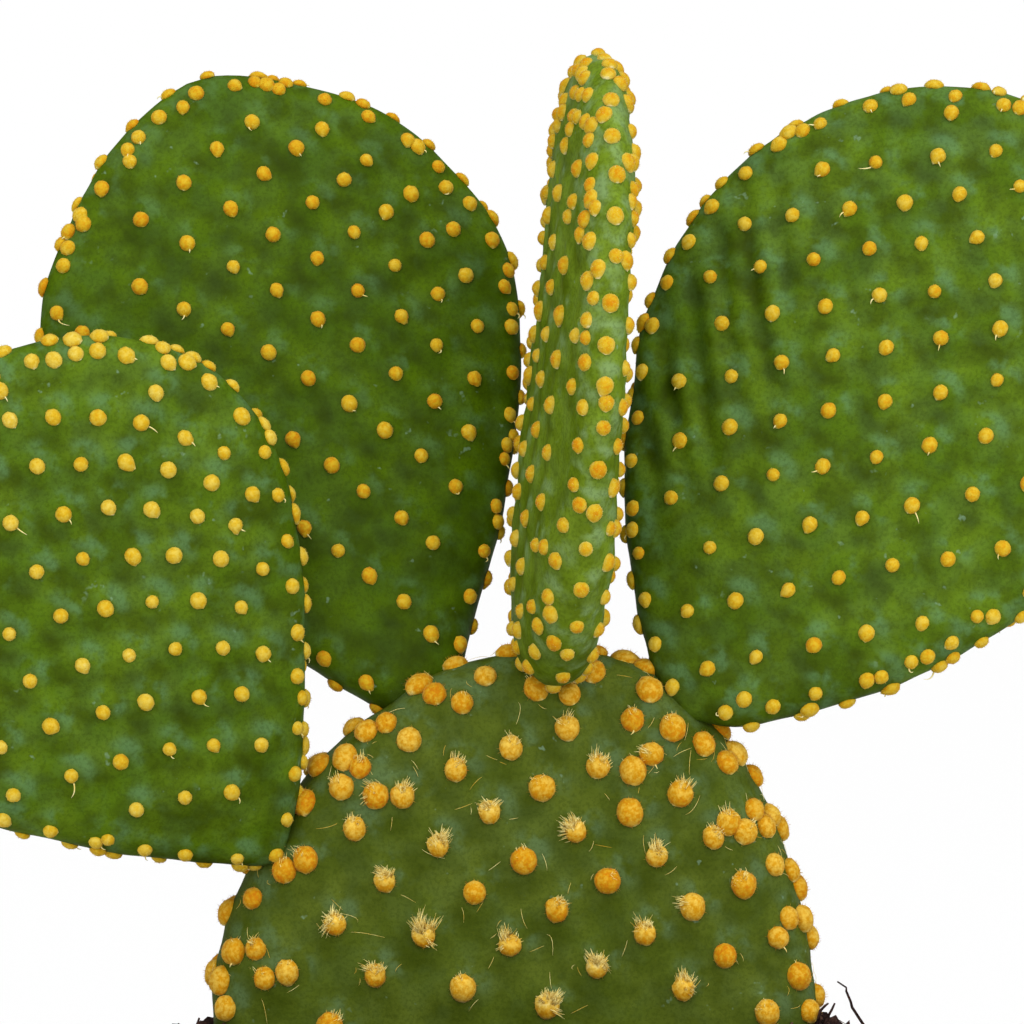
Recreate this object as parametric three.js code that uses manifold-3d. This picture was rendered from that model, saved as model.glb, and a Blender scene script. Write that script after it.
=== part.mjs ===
// A potted paddle cactus: a bunny-ear prickly pear of five flat pads in a plain clay pot.
// Millimetres, +Z up. The origin is the centre of the pot's flat base, and -Y is the front.
//
// The pot, the soil and each pad are separate solids. A pad is a flat oval stem whose outline,
// thickness and rounded margin follow a formula, and its tufts of short bristles are low
// pyramids raised from its skin. On both faces they stand where two families of slanting rows
// cross, as on the plant, and round the margin they stand closer, in three lines.

import * as THREE from 'three';
import { ConvexHull } from 'three/addons/math/ConvexHull.js';
import { mergeVertices } from 'three/addons/utils/BufferGeometryUtils.js';
import Module from 'manifold-3d';

// ---- Driving dimensions ----------------------------------------------------------------

const SEAT_GAP = 0.3; // where one piece touches another

const POT_HEIGHT = 110;
const POT_BASE_RADIUS = 46;
const POT_NECK_RADIUS = 62; // just below the collar
const COLLAR_RADIUS = 66;
const COLLAR_HEIGHT = 24;
const COLLAR_TAPER = 1.2; // the collar is this much narrower at its lower edge
const POT_WALL = 5;
const POT_FLOOR = 7;
const POT_EDGE = 1.5; // chamfer on the rim and the foot
const DRAIN_HOLES = 3;
const DRAIN_RADIUS = 4.5;
const DRAIN_CIRCLE = 24; // the holes stand on this radius, so the middle of the base is solid
const POT_SIDES = 40;

const PLANT_HEIGHT = 118; // height of the plant's own zero, where its lowest pad leaves the soil
const SOIL_CROWN = 1.3; // the soil is heaped round the plant, above the plant's zero
const SOIL_FALL = 11.8; // from the crown down to the pot's wall
const SOIL_FALL_POWER = 2;
const SOIL_RIDGE = 33; // the crown is a ridge this long to each side, along the plant's foot
const SOIL_LUMP = 0.4; // height of its coarse lumps
const SOIL_RINGS = 9;

const MARGIN_STEPS = 24; // spots along each side of the margin
const EGG_DEPTH = 2.6; // the egg that orders a pad's spots is this much thicker than the pad
const SOIL_HOLE = { gap: 0.6, rings: 18, sides: 30 }; // the hole that the lowest pad stands in
const SEAT_CUT = { gap: SEAT_GAP, rings: 28, sides: 40 }; // a pad's foot, cut by its carrier

const TUFT_SIDES = 4;
const TUFT_SPREAD = 0.12; // how much the tufts differ in size, as a part of it
const TUFT_SCATTER = 0.35; // how far they stray from their places
const TUFT_CLEARANCE = 0.5; // between a tuft and any other pad
const SOIL_CLEARANCE = 2.2; // between a tuft's middle and the soil
const ROWS_EACH_WAY = 12; // rows of tufts to each side of the first, more than any pad holds
const ROW_OPENNESS = 0.45; // where bent rows close up past this part of their spacing, they end
const FACE_CROWDING = 0.55; // a face tuft keeps this part of the rows' spacing from any other
const OUTLINE_STEPS = 300; // steps along each side of the outline, to walk round it evenly

// Each pad stands on root, in the plant's frame. tilt leans it to the right, lean leans it
// to the front and yaw turns its right margin to the back, in degrees. peak above 1 puts its
// widest place higher, and round shapes its two ends. bend bows its midline sideways, as a
// part of its length, and taper makes it thicker at the foot than at the top. margin says how
// squarely its faces turn into its rounded margin, and ends how squarely they turn into its
// foot and its top: 2 is an oval section and 8 nearly a slab.
//
// rows sets out the face tufts, sideways and up the pad: one tuft stands at start, the next
// ones are a first step and a second step away, and bends make both steps grow or shrink.
// edgeStep is the way along the margin between a tuft on the very edge and the next two,
// which stand on either side of it and edgeInset in from the outline.
const PADS = [
  {
    name: 'pad_base', root: [10.9, 0, -47.9], tilt: -5.2, lean: 0, yaw: 0,
    length: 98.2, halfWidth: 40.8, halfThickness: 8, peak: 0.98, round: 0.42, bend: -0.064,
    taper: 0.25, margin: 8, ends: 8,
    rows: {
      start: [-1.2, 51.6], first: [6.6, 4.95], second: [4.65, -8.25],
      bends: [[0.05, -0.38], [-0.22, 0.36], [0.11, -0.22]],
    },
    edgeStep: 3.9, edgeInset: 2, tuftRadius: 1.85, tuftHeight: 2, color: 0x4b6630, seed: 11,
  },
  {
    name: 'pad_left_front', parent: 'pad_base', root: [-31.1, -4, 22.5], tilt: -34.2, lean: 16,
    yaw: 4, length: 80, halfWidth: 34.1, halfThickness: 5.3, peak: 1.59, round: 0.52,
    bend: -0.043, taper: 0.3, margin: 3, ends: 3,
    rows: {
      start: [0.8, 44.3], first: [5.65, -2.95], second: [6.9, 4],
      bends: [[-0.25, -0.22], [-0.56, -0.44], [-0.39, -0.21]],
    },
    edgeStep: 3.2, edgeInset: 1.5, tuftRadius: 1.25, tuftHeight: 1.3, color: 0x4c8424, seed: 23,
  },
  {
    name: 'pad_left_back', parent: 'pad_base', root: [-10.7, 1.5, 38.7], tilt: -19.7, lean: -5,
    yaw: 12, length: 95.1, halfWidth: 32.8, halfThickness: 5.2, peak: 1.44, round: 0.64,
    bend: -0.012, taper: 0.3, margin: 3, ends: 3,
    rows: {
      start: [-0.6, 51.1], first: [3.95, -4.95], second: [8.35, 2.4],
      bends: [[-0.11, -0.03], [-0.06, -0.28], [-0.47, -0.19]],
    },
    edgeStep: 3.2, edgeInset: 1.5, tuftRadius: 1.25, tuftHeight: 1.3, color: 0x3b7018, seed: 37,
  },
  {
    name: 'pad_middle', parent: 'pad_base', root: [5, -6, 46.3], tilt: 4.5, lean: 5, yaw: -81,
    length: 84, halfWidth: 23.1, halfThickness: 5, peak: 1.09, round: 0.39, bend: 0.027,
    taper: 0.47, margin: 2.4, ends: 8,
    rows: {
      start: [12.8, 38.6], first: [7.4, -2.6], second: [7.4, 3.6],
      bends: [[0, 0], [0, 0], [0, 0]],
    },
    edgeStep: 2.8, edgeInset: 2.1, tuftRadius: 1.25, tuftHeight: 1.3, color: 0x4f8a35, seed: 41,
  },
  {
    name: 'pad_right', parent: 'pad_base', root: [23, -3, 41], tilt: 30.4, lean: -4, yaw: -12,
    length: 95.8, halfWidth: 35.4, halfThickness: 5.2, peak: 1.3, round: 0.54, bend: 0.021,
    taper: 0.3, margin: 3, ends: 3,
    rows: {
      start: [2.4, 50.8], first: [5.7, 4.65], second: [8.9, -2.1],
      bends: [[0.09, 0.04], [0.09, 0.13], [-0.3, -0.32]],
    },
    edgeStep: 3.2, edgeInset: 1.5, tuftRadius: 1.25, tuftHeight: 1.3, color: 0x3f761c, seed: 59,
  },
];

// ---- Solids ----------------------------------------------------------------------------

const wasm = await Module();
wasm.setup();

function solidFrom(geometry) {
  const bare = geometry.clone();
  bare.deleteAttribute('normal');
  bare.deleteAttribute('uv');
  const merged = mergeVertices(bare);
  const index = merged.index.array;
  const triangles = [];
  for (let i = 0; i < index.length; i += 3) {
    const [a, b, c] = [index[i], index[i + 1], index[i + 2]];
    if (a !== b && b !== c && c !== a) triangles.push(a, b, c);
  }
  return new wasm.Manifold(new wasm.Mesh({
    numProp: 3,
    vertProperties: new Float32Array(merged.attributes.position.array),
    triVerts: new Uint32Array(triangles),
  }));
}

function geometryFrom(solid) {
  const mesh = solid.getMesh();
  const geometry = new THREE.BufferGeometry();
  geometry.setAttribute('position', new THREE.BufferAttribute(mesh.vertProperties, 3));
  geometry.setIndex(new THREE.BufferAttribute(mesh.triVerts, 1));
  geometry.computeVertexNormals();
  return geometry;
}

function makeMesh(name, geometry, color, roughness) {
  const material = new THREE.MeshStandardMaterial({ color, roughness, metalness: 0 });
  const mesh = new THREE.Mesh(geometry, material);
  mesh.name = name;
  return mesh;
}

// A small seeded generator: the same draws each time, evenly between 0 and 1.
function makeDraw(seed) {
  let state = seed;
  return () => {
    state = (state + 0x6d2b79f5) | 0;
    let t = Math.imul(state ^ (state >>> 15), 1 | state);
    t = (t + Math.imul(t ^ (t >>> 7), 61 | t)) ^ t;
    return ((t ^ (t >>> 14)) >>> 0) / 4294967296;
  };
}

// ---- Pot and soil ----------------------------------------------------------------------

function potInnerRadius(z) {
  const slope = (POT_NECK_RADIUS - POT_BASE_RADIUS) / (POT_HEIGHT - COLLAR_HEIGHT);
  return POT_BASE_RADIUS - POT_WALL + slope * z;
}

function makePot() {
  const collarFoot = POT_HEIGHT - COLLAR_HEIGHT;
  const profile = [
    [0, 0],
    [POT_BASE_RADIUS - POT_EDGE, 0],
    [POT_BASE_RADIUS, POT_EDGE],
    [POT_NECK_RADIUS, collarFoot],
    [COLLAR_RADIUS - COLLAR_TAPER - POT_EDGE, collarFoot],
    [COLLAR_RADIUS - COLLAR_TAPER, collarFoot + POT_EDGE],
    [COLLAR_RADIUS, POT_HEIGHT - 2 * POT_EDGE],
    [COLLAR_RADIUS - POT_EDGE, POT_HEIGHT],
    [potInnerRadius(POT_HEIGHT) + POT_EDGE / 2, POT_HEIGHT],
    [potInnerRadius(POT_HEIGHT - POT_EDGE), POT_HEIGHT - POT_EDGE],
    [potInnerRadius(POT_FLOOR), POT_FLOOR],
    [0, POT_FLOOR],
  ].map(([radius, z]) => new THREE.Vector2(radius, z));
  const wall = new THREE.LatheGeometry(profile, POT_SIDES).rotateX(Math.PI / 2);
  let pot = solidFrom(wall);
  for (let i = 0; i < DRAIN_HOLES; i += 1) {
    const angle = (2 * Math.PI * (i + 0.5)) / DRAIN_HOLES;
    const hole = new THREE.CylinderGeometry(DRAIN_RADIUS, DRAIN_RADIUS, 4 * POT_FLOOR, 16);
    hole.rotateX(Math.PI / 2);
    hole.translate(DRAIN_CIRCLE * Math.cos(angle), DRAIN_CIRCLE * Math.sin(angle), 0);
    pot = pot.subtract(solidFrom(hole));
  }
  return makeMesh('pot', geometryFrom(pot), 0xb5673f, 0.85);
}

function soilHeight(x, y) {
  const toPlant = Math.hypot(Math.max(0, Math.abs(x) - SOIL_RIDGE), y);
  const toWall = Math.max(0, potInnerRadius(POT_HEIGHT) - Math.hypot(x, y));
  const reach = toPlant / (toPlant + toWall);
  const lumps = Math.sin(0.31 * x + 1.3) * Math.sin(0.27 * y - 0.4)
    + 0.7 * Math.sin(0.52 * x - 0.47 * y + 2.1);
  return PLANT_HEIGHT + SOIL_CROWN - SOIL_FALL * reach ** SOIL_FALL_POWER + SOIL_LUMP * lumps;
}

function makeSoil(plantFoot) {
  const floor = POT_FLOOR + SEAT_GAP;
  const top = PLANT_HEIGHT + SOIL_CROWN - SOIL_FALL;
  const floorRadius = potInnerRadius(floor) - SEAT_GAP;
  const topRadius = potInnerRadius(top) - SEAT_GAP;
  const profile = [new THREE.Vector2(0, floor), new THREE.Vector2(floorRadius, floor)];
  for (let ring = SOIL_RINGS; ring > 0; ring -= 1) {
    profile.push(new THREE.Vector2((topRadius * ring) / SOIL_RINGS, top));
  }
  profile.push(new THREE.Vector2(0, top));
  const heap = new THREE.LatheGeometry(profile, POT_SIDES).rotateX(Math.PI / 2);
  const position = heap.attributes.position;
  for (let i = 0; i < position.count; i += 1) {
    const [x, y] = [position.getX(i), position.getY(i)];
    if (position.getZ(i) > floor + 1) position.setZ(i, soilHeight(x, y));
  }
  const soil = solidFrom(heap).subtract(plantFoot);
  return makeMesh('soil', geometryFrom(soil), 0x3f2d26, 1);
}

// ---- The form of a pad -----------------------------------------------------------------

function midlineOffset(pad, along) {
  return pad.bend * pad.length * Math.sin(Math.PI * along);
}

function halfWidthAt(pad, along) {
  return pad.halfWidth * Math.sin(Math.PI * along ** pad.peak) ** pad.round;
}

function halfThicknessAt(pad, along) {
  const ends = Math.sqrt(1 - Math.abs(2 * along - 1) ** pad.ends);
  return pad.halfThickness * (1 + pad.taper * (0.5 - along)) * ends;
}

// A point on the skin, in the pad's own frame. rise goes from 0 at the foot to PI at the
// top, and turn goes once round the pad from its right margin by the back.
function skinPoint(pad, rise, turn) {
  const along = (1 - Math.cos(rise)) / 2;
  const across = Math.cos(turn);
  const depth = Math.sign(Math.sin(turn)) * Math.sqrt(1 - Math.abs(across) ** pad.margin);
  return new THREE.Vector3(
    midlineOffset(pad, along) + halfWidthAt(pad, along) * across,
    halfThicknessAt(pad, along) * depth,
    pad.length * along,
  );
}

// The same spot on an egg about as wide, thick and long as the pad. Every spot bulges there,
// so the hull round the spots of the egg tells which of them are neighbours on the skin.
function eggPoint(pad, rise, turn) {
  return new THREE.Vector3(
    pad.halfWidth * Math.sin(rise) * Math.cos(turn),
    EGG_DEPTH * pad.halfThickness * Math.sin(rise) * Math.sin(turn),
    -(pad.length / 2) * Math.cos(rise),
  );
}

// How the skin runs at a spot: along its rise, along its turn, and straight out.
function skinSlopes(pad, rise, turn) {
  const step = 0.01;
  const up = skinPoint(pad, rise + step, turn).sub(skinPoint(pad, rise - step, turn));
  const round = skinPoint(pad, rise, turn + step).sub(skinPoint(pad, rise, turn - step));
  const outward = round.clone().cross(up).normalize();
  return { up: up.length() / (2 * step), round: round.length() / (2 * step), outward };
}

// The pad's place in the pot, as a matrix.
function placeOf(pad) {
  const [x, y, z] = pad.root;
  const [lean, tilt, yaw] = [pad.lean, pad.tilt, pad.yaw].map(THREE.MathUtils.degToRad);
  const rotation = new THREE.Quaternion().setFromEuler(new THREE.Euler(lean, tilt, yaw, 'YXZ'));
  const position = new THREE.Vector3(x, y, z + PLANT_HEIGHT);
  return new THREE.Matrix4().compose(position, rotation, new THREE.Vector3(1, 1, 1));
}

// A plain pad grown by a gap, to cut what it stands in or carries.
function makeCutter(pad, { gap, rings, sides }) {
  const grown = {
    ...pad,
    length: pad.length + 2 * gap,
    halfWidth: pad.halfWidth + gap,
    halfThickness: pad.halfThickness + gap,
  };
  const spots = [{ rise: 0, turn: 0 }, { rise: Math.PI, turn: 0 }];
  for (let ring = 1; ring < rings; ring += 1) {
    for (let side = 0; side < sides; side += 1) {
      spots.push({ rise: (Math.PI * ring) / rings, turn: (2 * Math.PI * side) / sides });
    }
  }
  return solidFrom(hangNet(grown, spots).translate(0, 0, -gap).applyMatrix4(placeOf(pad)));
}

// True if a point in the pot's frame lies inside the pad or nearer to it than margin.
function isNear(pad, point, margin) {
  const local = point.clone().applyMatrix4(placeOf(pad).invert());
  if (local.z < -margin || local.z > pad.length + margin) return false;
  const level = local.z + margin * Math.sign(pad.length / 2 - local.z); // where it is wider
  const along = THREE.MathUtils.clamp(level / pad.length, 0.01, 0.99);
  const offset = Math.abs(local.x - midlineOffset(pad, along));
  const across = Math.min(1, offset / halfWidthAt(pad, along));
  const depth = halfThicknessAt(pad, along) * Math.sqrt(1 - across ** pad.margin);
  return offset < halfWidthAt(pad, along) + margin && Math.abs(local.y) < depth + margin;
}

// ---- Where the tufts stand -------------------------------------------------------------

// The spot of the skin in front of or behind a place on the pad's middle sheet, where side is
// -1 for the front and 1 for the back. Beyond the outline there is none.
function faceSpot(pad, x, z, side) {
  const along = z / pad.length;
  if (along <= 0 || along >= 1) return null;
  const across = (x - midlineOffset(pad, along)) / halfWidthAt(pad, along);
  if (Math.abs(across) >= 1) return null;
  return { rise: Math.acos(1 - 2 * along), turn: side * Math.acos(across) };
}

// Where row i of the first family crosses row j of the second, and how far apart the rows
// stand there, as a part of their spacing at the start.
function crossing(rows, i, j) {
  const { start, first, second, bends } = rows;
  const [x, z] = [0, 1].map((k) => start[k] + i * first[k] + j * second[k]
    + i * i * bends[0][k] + i * j * bends[1][k] + j * j * bends[2][k]);
  const stepI = [0, 1].map((k) => first[k] + 2 * i * bends[0][k] + j * bends[1][k]);
  const stepJ = [0, 1].map((k) => second[k] + 2 * j * bends[2][k] + i * bends[1][k]);
  const openness = (stepI[0] * stepJ[1] - stepI[1] * stepJ[0]) / cellArea(rows);
  return { x, z, openness };
}

function cellArea({ first, second }) {
  return first[0] * second[1] - first[1] * second[0];
}

// The crossings of the rows on one face. The back's rows run the other way and half a step on.
function faceSpots(pad, side) {
  const shift = side < 0 ? 0 : 0.5;
  const spots = [];
  for (let i = -ROWS_EACH_WAY; i <= ROWS_EACH_WAY; i += 1) {
    for (let j = -ROWS_EACH_WAY; j <= ROWS_EACH_WAY; j += 1) {
      const { x, z, openness } = crossing(pad.rows, i + shift, j + shift);
      const mirrored = 2 * midlineOffset(pad, z / pad.length) - x;
      const spot = faceSpot(pad, side < 0 ? x : mirrored, z, side);
      if (spot && openness > ROW_OPENNESS) spots.push(spot);
    }
  }
  return spots;
}

// Spots along the margin, at even steps up the right side, over the top and down the left:
// one on the very edge, then one on each side of it, and so on.
function edgeSpots(pad) {
  const outline = [];
  for (let k = 1; k < 2 * OUTLINE_STEPS; k += 1) {
    const turn = k < OUTLINE_STEPS ? 0 : Math.PI;
    const rise = (Math.PI * (k < OUTLINE_STEPS ? k : 2 * OUTLINE_STEPS - k)) / OUTLINE_STEPS;
    outline.push({ rise, turn, point: skinPoint(pad, rise, turn) });
  }
  const spots = [];
  let way = 0;
  let onEdge = true;
  for (let k = 1; k < outline.length; k += 1) {
    const step = outline[k].point.clone().sub(outline[k - 1].point);
    way += step.length();
    if (way > pad.edgeStep) {
      const { x, z } = outline[k].point;
      const inward = new THREE.Vector3(-step.z, 0, step.x).setLength(pad.edgeInset);
      const sides = [-1, 1].map((side) => faceSpot(pad, x + inward.x, z + inward.z, side));
      if (onEdge) spots.push({ rise: outline[k].rise, turn: outline[k].turn });
      else spots.push(...sides.filter((spot) => spot));
      way -= pad.edgeStep;
      onEdge = !onEdge;
    }
  }
  return spots;
}

// The tufts of a pad, each with its spot, its size and its place in the pot's frame.
function tuftsOf(pad) {
  const draw = makeDraw(pad.seed);
  const place = placeOf(pad);
  const room = FACE_CROWDING * Math.sqrt(Math.abs(cellArea(pad.rows)));
  const taken = edgeSpots(pad);
  for (const spot of [...faceSpots(pad, -1), ...faceSpots(pad, 1)]) {
    const point = skinPoint(pad, spot.rise, spot.turn);
    const isFree = taken.every((other) => (
      skinPoint(pad, other.rise, other.turn).distanceTo(point) > room));
    if (isFree) taken.push(spot);
  }
  return taken.map((even) => {
    const [strayUp, strayRound, size] = [draw(), draw(), draw()].map((value) => 2 * value - 1);
    const slopes = skinSlopes(pad, even.rise, even.turn);
    const rise = even.rise + (TUFT_SCATTER * strayUp) / slopes.up;
    const turn = even.turn + (TUFT_SCATTER * strayRound) / slopes.round;
    const height = pad.tuftHeight * (1 + TUFT_SPREAD * size);
    const spot = skinPoint(pad, rise, turn);
    const tip = spot.clone().addScaledVector(skinSlopes(pad, rise, turn).outward, height);
    return {
      pad,
      rise,
      turn,
      radius: pad.tuftRadius * (1 + TUFT_SPREAD * size),
      height,
      tip,
      placedSpot: spot.applyMatrix4(place),
      placedTip: tip.clone().applyMatrix4(place),
    };
  });
}

// True if a tuft stands clear of the soil, of the other pads and of the tufts on them.
function isClear(tuft, placed) {
  const { x, y, z } = tuft.placedSpot;
  if (z < soilHeight(x, y) + SOIL_CLEARANCE) return false;
  const reach = tuft.radius + TUFT_CLEARANCE;
  const others = PADS.filter((pad) => pad !== tuft.pad);
  if (others.some((pad) => isNear(pad, tuft.placedSpot, reach))) return false;
  if (others.some((pad) => isNear(pad, tuft.placedTip, TUFT_CLEARANCE))) return false;
  return placed.every((other) => other.pad === tuft.pad
    || other.placedTip.distanceTo(tuft.placedTip) > reach + other.radius);
}

// ---- The skin with its tufts -----------------------------------------------------------

// A closed skin through the spots. Spots with the same tuft are its foot, and they are
// joined to its tip instead of to each other.
function hangNet(pad, spots) {
  const eggPoints = spots.map((spot) => eggPoint(pad, spot.rise, spot.turn));
  const order = new Map(eggPoints.map((point, i) => [point, i]));
  const vertices = spots.map((spot) => skinPoint(pad, spot.rise, spot.turn));
  const index = [];
  const footEdges = new Map();
  for (const face of new ConvexHull().setFromPoints(eggPoints).faces) {
    const corners = [face.edge, face.edge.next, face.edge.prev].map((edge) => (
      order.get(edge.head().point)));
    const tuft = spots[corners[0]].tuft;
    if (tuft && corners.every((corner) => spots[corner].tuft === tuft)) {
      const edges = footEdges.get(tuft) ?? [];
      corners.forEach((corner, i) => edges.push([corner, corners[(i + 1) % 3]]));
      footEdges.set(tuft, edges);
    } else {
      index.push(...corners);
    }
  }
  for (const [tuft, edges] of footEdges) {
    const tip = vertices.push(tuft.tip) - 1;
    const isInner = ([a, b]) => edges.some(([c, d]) => a === d && b === c);
    for (const edge of edges) if (!isInner(edge)) index.push(...edge, tip);
  }
  const net = new THREE.BufferGeometry().setFromPoints(vertices);
  net.setIndex(index);
  return net;
}

// The foot of a tuft, as a ring of spots on the skin.
function footOf(tuft) {
  const slopes = skinSlopes(tuft.pad, tuft.rise, tuft.turn);
  return Array.from({ length: TUFT_SIDES }, (_, side) => {
    const angle = (2 * Math.PI * (side + 0.5)) / TUFT_SIDES;
    return {
      tuft,
      rise: tuft.rise + (tuft.radius * Math.sin(angle)) / slopes.up,
      turn: tuft.turn + (tuft.radius * Math.cos(angle)) / slopes.round,
    };
  });
}

// Plain spots on the very edge of the margin, on both sides, where no tuft stands.
function marginSpots(pad, tufts) {
  const spots = [];
  for (let i = 0; i <= MARGIN_STEPS; i += 1) {
    for (const turn of [0, Math.PI]) spots.push({ rise: (Math.PI * i) / MARGIN_STEPS, turn });
  }
  const place = placeOf(pad);
  return spots.slice(1, -1).filter((spot) => {
    const point = skinPoint(pad, spot.rise, spot.turn).applyMatrix4(place);
    return tufts.every((tuft) => tuft.placedSpot.distanceTo(point) > 1.5 * tuft.radius);
  });
}

function makePad(pad, tufts, bareSpots) {
  const spots = [...tufts.flatMap(footOf), ...bareSpots, ...marginSpots(pad, tufts)];
  let solid = solidFrom(hangNet(pad, spots).applyMatrix4(placeOf(pad)));
  const parent = PADS.find((other) => other.name === pad.parent);
  if (parent) solid = solid.subtract(makeCutter(parent, SEAT_CUT));
  return makeMesh(pad.name, geometryFrom(solid), pad.color, 0.6);
}

// ---- The whole plant -------------------------------------------------------------------

const group = new THREE.Group();
group.add(makePot());
group.add(makeSoil(makeCutter(PADS[0], SOIL_HOLE)));

const placed = [];
const bare = []; // spots in the soil or against another pad, where the skin stays plain
for (const tuft of PADS.flatMap(tuftsOf)) {
  if (isClear(tuft, placed)) placed.push(tuft);
  else bare.push(tuft);
}
for (const pad of PADS) {
  const bareSpots = bare.filter((spot) => spot.pad === pad);
  group.add(makePad(pad, placed.filter((tuft) => tuft.pad === pad), bareSpots));
}

export default group;
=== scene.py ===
"""A potted paddle cactus: fine pads with their bristle tufts, peat soil and a clay pot.

Lengths are millimetres until a piece is made, and metres from there on. +Z is up, -Y is the
front, and the origin is the centre of the pot's base. The pads and the places of their tufts
follow the same rules as the solids that they stand for.
"""

from math import acos, ceil, cos, pi, radians, sin, sqrt, tan

import bpy
import numpy as np
from mathutils import Matrix
from numpy.linalg import norm

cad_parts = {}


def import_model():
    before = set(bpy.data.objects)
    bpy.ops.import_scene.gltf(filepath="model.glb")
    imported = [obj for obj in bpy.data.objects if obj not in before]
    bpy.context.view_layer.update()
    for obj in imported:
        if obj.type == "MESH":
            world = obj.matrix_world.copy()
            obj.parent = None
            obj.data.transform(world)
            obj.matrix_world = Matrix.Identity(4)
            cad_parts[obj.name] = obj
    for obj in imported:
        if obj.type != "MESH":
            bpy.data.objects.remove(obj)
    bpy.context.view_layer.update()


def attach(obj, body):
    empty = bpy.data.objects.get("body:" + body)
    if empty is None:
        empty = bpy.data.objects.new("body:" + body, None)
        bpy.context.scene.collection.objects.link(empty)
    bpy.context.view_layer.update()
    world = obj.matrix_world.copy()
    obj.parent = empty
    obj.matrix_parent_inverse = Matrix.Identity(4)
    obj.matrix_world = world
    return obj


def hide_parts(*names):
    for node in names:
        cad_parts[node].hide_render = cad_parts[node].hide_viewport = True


MM = 0.001

# ---- Driving dimensions, as in the solids (mm and degrees) ----

SEAT_GAP = 0.3
POT_HEIGHT = 110
POT_BASE_RADIUS = 46
POT_NECK_RADIUS = 62
COLLAR_RADIUS = 66
COLLAR_HEIGHT = 24
COLLAR_TAPER = 1.2
POT_WALL = 5
POT_FLOOR = 7
DRAIN_HOLES = 3
DRAIN_RADIUS = 4.5
DRAIN_CIRCLE = 24

PLANT_HEIGHT = 118
SOIL_CROWN = 1.3
SOIL_FALL = 11.8
SOIL_FALL_POWER = 2
SOIL_RIDGE = 33
SOIL_LUMP = 0.4

TUFT_SPREAD = 0.12
TUFT_SCATTER = 0.35
ROWS_EACH_WAY = 12
ROW_OPENNESS = 0.45
FACE_CROWDING = 0.55
OUTLINE_STEPS = 300

# tilt leans a pad to the right, lean to the front, and yaw turns its right margin to the back.
# peak above 1 puts its widest place higher, round shapes its ends, bend bows its midline and
# taper thins it upwards. margin and ends say how squarely its faces turn into its margin and
# its ends. Its face tufts stand by first and second steps away from start, and bends make the
# steps grow or shrink. crowd tells how far in from the margin it fills up with more tufts.
YOUNG_PAD = dict(
    half_thickness=5.2, taper=0.3, margin=3, ends=3, edge_step=3.2, edge_inset=1.5, crowd=0.8,
    tuft_radius=1.25,
)
PADS = [
    dict(
        name="pad_base", root=(10.9, 0, -47.9), tilt=-5.2, lean=0, yaw=0,
        length=98.2, half_width=40.8, half_thickness=8, peak=0.98, round=0.42, bend=-0.064,
        taper=0.25, margin=8, ends=8, start=(-1.2, 51.6), first=(6.6, 4.95),
        second=(4.65, -8.25), bends=((0.05, -0.38), (-0.22, 0.36), (0.11, -0.22)),
        edge_step=3.9, edge_inset=2, crowd=1.6, tuft_radius=1.85, seed=11,
    ),
    dict(
        YOUNG_PAD, name="pad_left_front", root=(-31.1, -4, 22.5), tilt=-34.2, lean=16, yaw=4,
        length=80, half_width=34.1, half_thickness=5.3, peak=1.59, round=0.52, bend=-0.043,
        start=(0.8, 44.3), first=(5.65, -2.95), second=(6.9, 4),
        bends=((-0.25, -0.22), (-0.56, -0.44), (-0.39, -0.21)), seed=23,
    ),
    dict(
        YOUNG_PAD, name="pad_left_back", root=(-10.7, 1.5, 38.7), tilt=-19.7, lean=-5, yaw=12,
        length=95.1, half_width=32.8, peak=1.44, round=0.64, bend=-0.012,
        start=(-0.6, 51.1), first=(3.95, -4.95), second=(8.35, 2.4),
        bends=((-0.11, -0.03), (-0.06, -0.28), (-0.47, -0.19)), seed=37,
    ),
    dict(
        YOUNG_PAD, name="pad_middle", root=(5, -6, 46.3), tilt=4.5, lean=5, yaw=-81,
        length=84, half_width=23.1, half_thickness=5, peak=1.09, round=0.39, bend=0.027,
        taper=0.47, margin=2.4, ends=8, start=(12.8, 38.6), first=(7.4, -2.6),
        second=(7.4, 3.6), bends=((0, 0), (0, 0), (0, 0)),
        edge_step=2.8, edge_inset=2.1, crowd=1.6, seed=41,
    ),
    dict(
        YOUNG_PAD, name="pad_right", root=(23, -3, 41), tilt=30.4, lean=-4, yaw=-12,
        length=95.8, half_width=35.4, peak=1.3, round=0.54, bend=0.021,
        start=(2.4, 50.8), first=(5.7, 4.65), second=(8.9, -2.1),
        bends=((0.09, 0.04), (0.09, 0.13), (-0.3, -0.32)), seed=59,
    ),
]

# ---- Camera and light ----

CAMERA_DISTANCE = 780  # from the plane through the pot's axis
CAMERA_ELEVATION = 1.5
CAMERA_AIM = PLANT_HEIGHT + 69.2  # height that the middle of the picture shows
CAMERA_RANGE = (0.01, 50)  # metres
PICTURE_WIDTH = 138.4  # width of the picture at that plane
SENSOR = 36
ROOM_LIGHT = 0.26  # of the white room, as a part of how bright the camera sees it
SUN_STRENGTH = 4.1
SUN_SIZE = 110  # how wide the soft sun looks
SUN_TURN = 10  # to the right of the camera
SUN_RISE = 40
FLOOR_REACH = 12  # metres to each side
FLOOR_WHITE = 0.92


def show(name, data):
    shown = bpy.data.objects.new(name, data)
    bpy.context.scene.collection.objects.link(shown)
    return shown


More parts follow.
